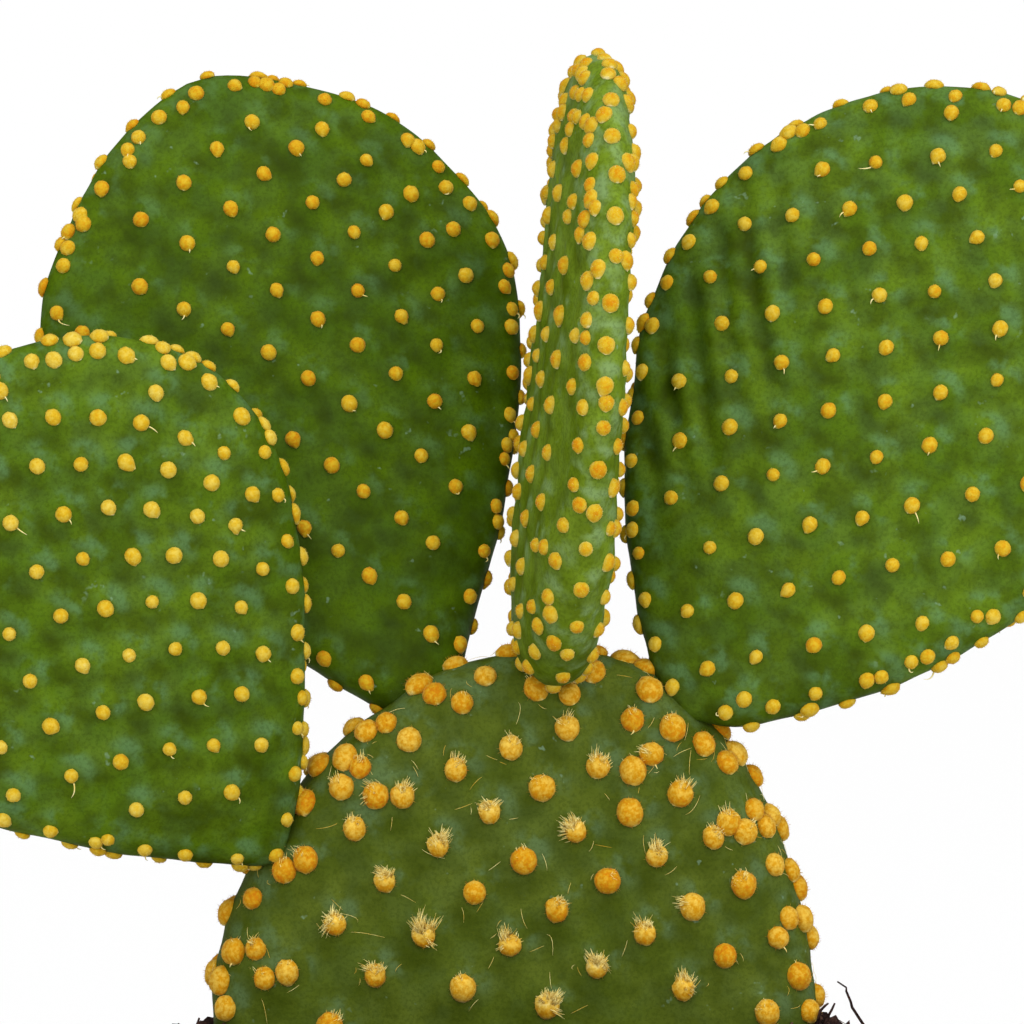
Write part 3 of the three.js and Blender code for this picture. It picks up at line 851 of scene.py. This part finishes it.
def bristles(foot, way, curl, length, radius):
    """Curved three-sided bristles as (n, 9, 3) points, which start along way and bend to
    curl."""
    along = np.array(BRISTLE_STATIONS)
    line = foot[:, None] + length[:, None, None] * (
        way[:, None] * along[:, None] + curl[:, None] * along[:, None] ** 2)
    side, over = crosswise(way, ASKEW)
    thick = radius[:, None, None] * (1 - 0.8 * along)[:, None]
    rings = [line + thick * (side * cos(a) + over * sin(a))[:, None]
             for a in circle(3)]
    return np.stack(rings, 2).reshape(len(foot), -1, 3)


def add_ball(parts, draw, middle, axes, size, looks, beak, fray, pale):
    """The dense velvety middle of a tuft: a dome that runs out into a small pale beak at its
    lower rim. Where the tuft is frayed, its upper side is ragged and pale."""
    core, share, faces = looks["core"]
    from_down = np.arctan2(core[:, 0], -core[:, 1]) - draw.normal(0, BEAK_SWAY)
    from_down = (from_down + pi) % (2 * pi) - pi
    point = hump(from_down, 0, BEAK_WIDTH) * np.interp(share, (0.35, 0.8), (0, 1))
    worn = fray * np.interp(core[:, 1] + 0.3 * core[:, 2], (-0.4, 0.5), (0, 1))
    lumps = (BALL_LUMPS + WORN_LUMPS * worn) * waves(core * 3 + 40 * draw.random(), 1.2, 3)
    shape = core * (1 + lumps + WORN_LUMPS * worn)[:, None]
    shape[:, :2] *= 1 + beak * point[:, None]
    low, high = looks["core_shade"]
    shade = pale + low + (high - low) * share**2 + draw.uniform(-BALL_SHADES, BALL_SHADES)
    shade = shade + WORN_SHADE * worn + BEAK_SHADE * point**3
    parts.add(middle + (shape * size) @ axes, faces, shade)


def add_fuzz(parts, draw, middle, axes, size, looks, pale):
    """Short bristles all over the ball."""
    count = looks["fuzz"]
    order = np.arange(count) + 0.5
    tilt = np.arccos(1 - FUZZ_END * order / count) + draw.normal(0, 0.06, count)
    turn = order * pi * (3 - sqrt(5)) + draw.normal(0, 0.2, count)
    ray = rays(tilt, turn)
    foot = ray * size * 0.8
    way = unit(ray + draw.normal(0, 0.25, (count, 3)))
    tip = foot + way * (size[0] * 0.2 + draw.uniform(*looks["fuzz_length"], count))[:, None]
    points = middle + spikes(foot, tip, looks["fuzz_thick"]) @ axes
    root = draw.normal(looks["core_shade"][1] + pale, FUZZ_SHADES, count)
    parts.add(points, SPIKE_FACES, np.stack([root, root, root, root + 0.1], -1))


def add_fringe(parts, draw, middle, axes, size, looks, fray):
    """Bundles of longer straw-coloured bristles that fan out of the upper side of a frayed
    tuft."""
    count = int(looks["fringe"] * fray)
    if count < 3:
        return
    bundles = 4 + int(7 * fray)
    lean = pi / 2 + draw.normal(0, 0.35)
    heading = draw.normal(lean, 0.35 + 0.5 * fray, bundles)
    steep = draw.uniform(0.5, 1.3, bundles)
    curl = draw.normal(0, 0.35, (bundles, 3))
    reach = draw.uniform(0.7, 1.25, bundles) * (0.75 + 0.7 * fray)
    own = draw.integers(0, bundles, count)
    turn = heading[own] + draw.normal(0, 0.3, count)
    tilt = (steep[own] + draw.normal(0, 0.3, count)).clip(0.1, 1.5)
    ray = rays(tilt, turn)
    way = unit(0.35 * ray + rays(steep, heading)[own] + draw.normal(0, 0.13, (count, 3)))
    length = reach[own] * draw.uniform(0.55, 1.1, count)
    points = bristles(
        ray * size * 0.85, way, curl[own] + draw.normal(0, 0.12, (count, 3)), length,
        draw.uniform(*BRISTLE_THICKNESS, count))
    root = draw.normal(0.6, 0.12, count)
    shade = root[:, None] + 0.3 * np.repeat(BRISTLE_STATIONS, 3)
    parts.add(middle + points @ axes, BRISTLE_FACES, shade)


def add_wisp(parts, draw, middle, axes, radius, long):
    """A few pale bristles, stuck together in a curl at the lower rim of a tuft."""
    side, up, normal = axes
    length = draw.uniform(*WISP_LENGTHS[long])
    swing = draw.normal(0, 0.4)
    curl = draw.normal(0, 1.1)
    way = np.linspace(0, 1, WISP_STEPS)
    heading = swing + curl * way
    down = side * np.sin(heading)[:, None] - up * np.cos(heading)[:, None]
    start = side * sin(swing) - up * cos(swing)
    line = middle + start * (0.85 * radius) + normal * (0.2 * radius)
    line = line + np.cumsum(down, axis=0) * (length / WISP_STEPS)
    line = line + np.outer(0.25 * length * np.sin(way * 2.8), normal)
    points, faces = tube(line, 0.1 * (1 - way) ** 0.7 + 0.025)
    parts.add(points, faces, np.repeat(0.8 + 0.2 * way, TUBE_SIDES))


def add_hairs(parts, draw, tufts, count):
    """Loose pale bristles, strewn over the skin near the tufts."""
    for k in draw.choice(len(tufts.middle), count):
        normal, up = tufts.normal[k], tufts.up[k]
        turn = draw.uniform(0, 2 * pi)
        out = np.cross(up, normal) * cos(turn) + up * sin(turn)
        way = np.linspace(0, 1, HAIR_STEPS)
        length = draw.uniform(*HAIR_LENGTHS)
        slew = draw.normal(0, 2.2)
        line = tufts.foot[k] + out * draw.uniform(*HAIR_REACH) + normal * 0.15
        line = line + np.outer(way * length, unit(out * draw.normal() + np.cross(normal, out)))
        line = line + np.outer(way**2 * length * 0.3 * slew, out)
        line = line + np.outer(0.25 * np.sin(way * 3), normal)
        points, faces = tube(line, 0.015 + 0.013 * np.sin(way * 3))
        parts.add(points, faces, draw.uniform(0.5, 1))


def make_tufts(pad, tufts, looks, material, slot):
    draw = np.random.default_rng(TUFT_SEED + pad["seed"])
    parts = Parts()
    for middle, up, normal, own_size, inward in zip(
            tufts.middle, tufts.up, tufts.normal, tufts.size, tufts.inward):
        radius = pad["tuft_radius"] * own_size * looks["scale"]
        size = radius * np.array([1, draw.uniform(*TUFT_LENGTHS), looks["height"]])
        axis = unit(normal + TUFT_LIFT * up)
        side = unit(np.cross(up, axis))
        axes = np.stack([side, np.cross(axis, side), axis])
        fray = min(1, looks["fray"] * max(inward - FRAY_DEPTH, 0) * draw.random() ** 1.5)
        margin = max(1 - inward / MARGIN_DEPTH, 0)
        spread = 1 + looks["spread"] * margin
        size = size * (1 - FRAY_SHRINK * fray) * (spread, spread, 1)
        beak = looks["beak"] * draw.random() ** 2
        pale = MARGIN_PALE * margin
        add_ball(parts, draw, middle, axes, size, looks, beak, fray, pale)
        add_fuzz(parts, draw, middle, axes, size, looks, pale)
        add_fringe(parts, draw, middle, axes, size, looks, fray)
        if draw.random() < looks["wisps"]:
            add_wisp(parts, draw, middle, axes, radius, draw.random() < LONG_WISPS)
    if looks["hairs"]:
        add_hairs(parts, draw, tufts, looks["hairs"])
    parts.piece(pad["name"] + "_tufts", material, slot)


# core_shade is the shade of a ball's top and of its rim. scale, spread and height are for its
# size, and the last ones say how much of each kind of bristle there is.
YOUNG_TUFT = dict(
    core=dome(5, 16), core_shade=(0.34, 0.16), fuzz=90, fuzz_length=(0.02, 0.2),
    fuzz_thick=0.05, scale=0.8, spread=0.16, height=0.84, beak=0.4, fringe=0, fray=0,
    wisps=0.22, hairs=0,
)
# deeper orange tufts: painted shade for the pad that stands behind the others
SHADED_TUFT = dict(YOUNG_TUFT, core_shade=(0.27, 0.08))
PALE_TUFT = dict(YOUNG_TUFT, core_shade=(0.44, 0.26))
RIDGE_TUFT = dict(YOUNG_TUFT, core_shade=(0.14, 0.68), fuzz=64, scale=0.84, spread=0, wisps=0)
OLD_TUFT = dict(
    YOUNG_TUFT, core=dome(6, 20), core_shade=(0.34, 0.22), fuzz_length=(0.02, 0.5), scale=0.9,
    spread=0.1, height=0.82, beak=0.1, fringe=210, fray=1.7, wisps=0.06, hairs=260,
)


# ---- The pot ----

POT_SIDES = 144
POT_ROUNDING = (0, 2, 0.8, 1.4, 1.8, 1.5, 3, 0)  # at the corners of its profile, from its foot
POT_STRETCH = 2.2  # no stretch of the profile is longer
ARC_STEPS = 7
RIPPLE_HEIGHT = 0.002  # of the turning marks, as a part of the pot's radius
RIPPLE_WIDTH = 3.5
DRILL_SIDES = 40


def rounded(corners, radii):
    """A profile whose corners are turned into arcs of the given radii."""
    corners = np.array(corners, float)
    out = [corners[0]]
    for before, corner, after, radius in zip(corners, corners[1:], corners[2:], radii[1:]):
        back, ahead = unit(before - corner), unit(after - corner)
        cut = radius / tan(acos(back @ ahead) / 2)
        start, end = corner + back * cut, corner + ahead * cut
        out += [(1 - t) ** 2 * start + 2 * t * (1 - t) * corner + t * t * end
                for t in np.linspace(0, 1, ARC_STEPS)]
    return [*out, corners[-1]]


def split_long(profile, longest):
    """Adds points to a profile, so that no stretch is longer than longest."""
    out = [profile[0]]
    for a, b in zip(profile[:-1], profile[1:]):
        parts = ceil(norm(b - a) / longest)
        out += [a + (b - a) * (k + 1) / parts for k in range(parts)]
    return out


def pot_material():
    """Fired clay with dark speckles, a pale bloom of salts and fine turning marks."""
    material, shader, nodes = new_material("terracotta", 0.86)
    tone = nodes.ramp(nodes.noise(22, 5, 0.6), 0.3, 0.7)
    colour = nodes.mix(tone, (176, 98, 62), (196, 120, 80))
    speckle = nodes.ramp(nodes.noise(0.9, 3, 0.7), 0.56, 0.72, 0, 0.4)
    colour = nodes.mix(speckle, colour, (140, 74, 46))
    bloom = nodes.ramp(nodes.noise(19, 4, 0.6, (1, 1, 0.7)), 0.46, 0.78, 0, 0.22)
    nodes.put(shader.inputs["Base Color"], nodes.mix(bloom, colour, (226, 196, 172)))
    marks = nodes.noise(1.1, 2, 0.5, (60, 60, 1))
    marks = nodes.plus(marks, nodes.times(nodes.noise(0.8, 4, 0.7), 0.5))
    nodes.bump(shader, marks, 0.3, 0.5)
    return material


def make_pot():
    neck = POT_HEIGHT - COLLAR_HEIGHT
    corners = [
        (0, 0), (POT_BASE_RADIUS, 0), (POT_NECK_RADIUS, neck),
        (COLLAR_RADIUS - COLLAR_TAPER, neck), (COLLAR_RADIUS, POT_HEIGHT),
        (pot_inner_radius(POT_HEIGHT), POT_HEIGHT), (pot_inner_radius(POT_FLOOR), POT_FLOOR),
        (0, POT_FLOOR),
    ]
    profile = np.array(split_long(rounded(corners, POT_ROUNDING), POT_STRETCH))
    turn = circle(POT_SIDES)
    ring = np.stack([np.cos(turn), np.sin(turn), 0 * turn + 1], -1)
    points = (profile[1:-1, None][:, :, [0, 0, 1]] * ring).reshape(-1, 3)
    points = np.concatenate([points, [(0, 0, profile[0, 1]), (0, 0, profile[-1, 1])]])
    x, y, height = points.T
    ripple = RIPPLE_HEIGHT * waves(points * (0, 0, 1), RIPPLE_WIDTH, 8)
    outer = (np.hypot(x, y) > pot_inner_radius(height) + 2) & (height > 3)
    points[:, :2] *= (1 + ripple * outer)[:, None]
    faces = net_faces(len(profile) - 2, POT_SIDES)
    pot = make_piece("pot_fine", points, faces, pot_material(), "clay", ("pot",))
    for k in range(DRAIN_HOLES):
        angle = 2 * pi * (k + 0.5) / DRAIN_HOLES
        place = (DRAIN_CIRCLE * cos(angle) * MM, DRAIN_CIRCLE * sin(angle) * MM, 0)
        bpy.ops.mesh.primitive_cylinder_add(
            vertices=DRILL_SIDES, radius=DRAIN_RADIUS * MM, depth=4 * POT_FLOOR * MM,
            location=place)
        drill = bpy.context.object
        cut = pot.modifiers.new("hole", "BOOLEAN")
        cut.object = drill
        cut.operation = "DIFFERENCE"
        with bpy.context.temp_override(object=pot, active_object=pot):
            bpy.ops.object.modifier_apply(modifier=cut.name)
        bpy.data.objects.remove(drill)


# ---- The soil ----

SOIL_SEED = 77
SOIL_RINGS = 90
SOIL_SIDES = 210
SOIL_CLODS = ((0.75, 3.2), (0.5, 1.5), (0.3, 0.9))  # heights and widths of its lumps
SOIL_DIP = 1.8  # the shown soil lies this much lower in front of the plant and behind it
SOIL_SHOULDER = 1  # and this much lower at its two sides
CRUMBS = 1500
CRUMB_SIZES = (0.45, 1.5)  # the least radius, and the most that is added to it
LOOSE_FIBRES = 150
FIBRE_STEPS = 9
FIBRES = [  # roots that stick out of the soil: points from the pot's axis and the plant's zero
    ((43.9, -3, 5.9), (45.1, -3, 5.1), (45.1, -3, 4.6), (45.7, -3, 3.2), (45.9, -3, 2.4),
     (47.8, -3, -0.5)),
    ((43.5, -4, 3.1), (43.1, -4, 2.2), (42.2, -4, 0.6), (41.9, -4, -0.6)),
    ((42.6, -5, 3.2), (42.2, -5, 2.9), (41.5, -5, 2.2), (41, -5, 0)),
    ((-42.2, -3, 1), (-42.4, -3, 0.3), (-42.9, -3, -1)),
]


def soil_material():
    material, shader, nodes = new_material("peat", 0.95, 0.12)
    grain = nodes.ramp(nodes.noise(1.1, 6, 0.7), 0.3, 0.7)
    tone = nodes.plus(nodes.attribute("shade"), nodes.times(grain, 0.5))
    colour = nodes.stops(
        tone, (0, (22, 14, 12)), (0.35, (48, 32, 28)), (0.62, (84, 58, 50)),
        (0.85, (122, 92, 76)), (1, (168, 140, 112)))
    nodes.put(shader.inputs["Base Color"], colour)
    nodes.bump(shader, grain, 0.5, 0.8)
    return material


def crumb_shape():
    """A unit ball, from an octahedron whose faces are split into four."""
    corners = np.concatenate([np.eye(3), -np.eye(3)])
    edges = [{a, b} for a in range(6) for b in range(a) if a - b != 3]
    middles = [unit(corners[list(edge)].sum(axis=0)) for edge in edges]
    faces = []
    for a, b, c in [(a, b, c) for a in (0, 3) for b in (1, 4) for c in (2, 5)]:
        if (a + b + c) % 2 == 0:
            b, c = c, b
        ab, bc, ca = [6 + edges.index(edge) for edge in ({a, b}, {b, c}, {c, a})]
        faces += [(a, ab, ca), (ab, b, bc), (ca, bc, c), (ab, bc, ca)]
    return np.concatenate([corners, middles]), np.array(faces)


def shown_soil(x, y):
    """The height of the shown soil, and how far its lumps may rise: less near the plant."""
    dip = SOIL_DIP * np.exp(-((x / 38) ** 8) - (y / 26) ** 2)
    dip = dip + SOIL_SHOULDER * np.interp(np.abs(x), (36, 44), (0, 1))
    return soil_height(x, y) - dip, np.interp(np.hypot(x / 44, y / 30), (0.6, 1.1), (0.25, 1))


def add_ground(parts, rim):
    """The soil itself, with a lumpy top that turns smooth at the pot's wall."""
    floor = POT_FLOOR + SEAT_GAP
    share = (np.arange(1, SOIL_RINGS + 1) / SOIL_RINGS) ** 0.9
    turn = circle(SOIL_SIDES)
    round_axis = np.stack([np.cos(turn), np.sin(turn), 0 * turn], -1)
    flat = (rim * share[:, None, None] * round_axis).reshape(-1, 3)
    fine = sum(height * waves(flat, width, 21 + k)
               for k, (height, width) in enumerate(SOIL_CLODS))
    edge = np.repeat(1 - share**14, SOIL_SIDES)
    height, rough = shown_soil(flat[:, 0], flat[:, 1])
    top = flat + np.outer(height + fine * rough * (0.3 + 0.7 * edge), (0, 0, 1))
    foot = (pot_inner_radius(floor) - SEAT_GAP) * round_axis + (0, 0, floor)
    ends = [(0, 0, float(shown_soil(0, 0)[0])), (0, 0, floor)]
    tone = 0.12 + 0.12 * np.append(fine, np.zeros(SOIL_SIDES + 2))
    parts.add(
        np.concatenate([top, foot, ends]), net_faces(SOIL_RINGS + 1, SOIL_SIDES, flip=True),
        tone)


def add_crumb(parts, draw, rim, ball, faces):
    reach = rim * 0.985 * sqrt(draw.random())
    angle = draw.uniform(0, 2 * pi)
    x, y = reach * cos(angle), reach * sin(angle)
    size = (CRUMB_SIZES[0] + CRUMB_SIZES[1] * draw.random() ** 3) * shown_soil(x, y)[1]
    shape = ball * (1 + 0.28 * waves(ball * 2 + 9 * draw.random(), 1.2, 3))[:, None]
    shape = shape * draw.uniform(0.6, 1.1, 3) * size
    spin = np.array(Matrix.Rotation(draw.uniform(0, 6.3), 3, draw.normal(size=3)))
    reach = min(reach, rim - 1.2 * size)
    x, y = reach * cos(angle), reach * sin(angle)
    place = (x, y, shown_soil(x, y)[0] + 0.2 * size)
    parts.add(shape @ spin + place, [faces], draw.uniform(0, 0.42) ** 1.3)


def add_fibre(parts, draw, rim):
    """A loose fibre that lies on the soil in a shallow curve."""
    angle = draw.uniform(0, 2 * pi)
    reach = (rim - 7) * sqrt(draw.random())
    length = draw.uniform(2.5, 10)
    heading = draw.uniform(0, 2 * pi)
    curl = draw.normal(0, 1.1)
    line = np.zeros((FIBRE_STEPS, 3))
    line[0, :2] = reach * cos(angle), reach * sin(angle)
    for k in range(1, FIBRE_STEPS):
        heading += curl / FIBRE_STEPS + draw.normal(0, 0.12)
        step = length / FIBRE_STEPS * np.array([cos(heading), sin(heading)])
        line[k, :2] = line[k - 1, :2] + step
    far = np.hypot(line[:, 0], line[:, 1])
    line[:, :2] *= np.minimum(1, (rim - 1) / np.maximum(far, 1e-6))[:, None]
    rise = draw.uniform(0.5, 1.8) * np.sin(np.linspace(0.2, 3.0, FIBRE_STEPS))
    ground, rough = shown_soil(line[:, 0], line[:, 1])
    line[:, 2] = ground + (0.4 + rise) * rough
    points, faces = tube(line, np.linspace(0.16, 0.06, FIBRE_STEPS) * draw.uniform(0.7, 1.4))
    parts.add(points, faces, draw.uniform(0.1, 0.75))


def make_soil():
    draw = np.random.default_rng(SOIL_SEED)
    rim = pot_inner_radius(PLANT_HEIGHT + SOIL_CROWN - SOIL_FALL) - SEAT_GAP
    parts = Parts()
    add_ground(parts, rim)
    ball, faces = crumb_shape()
    for _ in range(CRUMBS):
        add_crumb(parts, draw, rim, ball, faces)
    for _ in range(LOOSE_FIBRES):
        add_fibre(parts, draw, rim)
    for fibre in FIBRES:
        line = np.array(fibre, float) + (0, 0, PLANT_HEIGHT)
        points, faces = tube(line, np.linspace(0.13, 0.25, len(line)))
        parts.add(points, faces, 0.14)
    parts.piece("soil_fine", soil_material(), "soil", ("soil",))


# ---- The whole ----


def make_plant():
    bloom = (86, 122, 78)
    green = skin_material("young_skin", (86, 113, 16), (74, 102, 8), (45, 58, 0), bloom, 0.6)
    # a darker copy of the young skin: painted shade for the pad that stands behind the others
    shaded_green = skin_material(
        "shaded_skin", (73, 99, 0), (63, 89, 0), (39, 52, 0), bloom, 0.34)
    # a paler green with more bloom for the middle pad: partly its own colour, partly painted
    # light where it faces the lamp
    pale_lit_green = skin_material(
        "middle_skin", (112, 138, 36), (98, 123, 20), (70, 88, 2), (122, 150, 96), 0.75)
    olive = skin_material(
        "old_skin", (81, 95, 24), (72, 87, 16), (53, 66, 2), (82, 106, 68), 0.65)
    gold = tuft_material(
        "young_bristles", (0, (188, 124, 4)), (0.3, (194, 158, 28)),
        (0.6, (204, 179, 70)), (1, (228, 218, 160)))
    rust = tuft_material(
        "old_bristles", (0, (182, 96, 0)), (0.3, (192, 139, 15)),
        (0.6, (216, 180, 72)), (1, (246, 234, 160)))
    looks = {
        "pad_base": (olive, OLD_TUFT, rust, "old_pad"),
        "pad_left_front": (green, PALE_TUFT, gold, "young_pad"),
        "pad_left_back": (shaded_green, SHADED_TUFT, gold, "young_pad"),
        "pad_middle": (pale_lit_green, RIDGE_TUFT, gold, "young_pad"),
        "pad_right": (green, YOUNG_TUFT, gold, "young_pad"),
    }
    for pad in PADS:
        skin, tuft, bristle, slot = looks[pad["name"]]
        tufts = Tufts(pad)
        make_skin(pad, tufts, skin, slot)
        make_tufts(pad, tufts, tuft, bristle, slot)


def main():
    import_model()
    make_camera()
    make_stage()
    make_pot()
    make_soil()
    make_plant()


main()
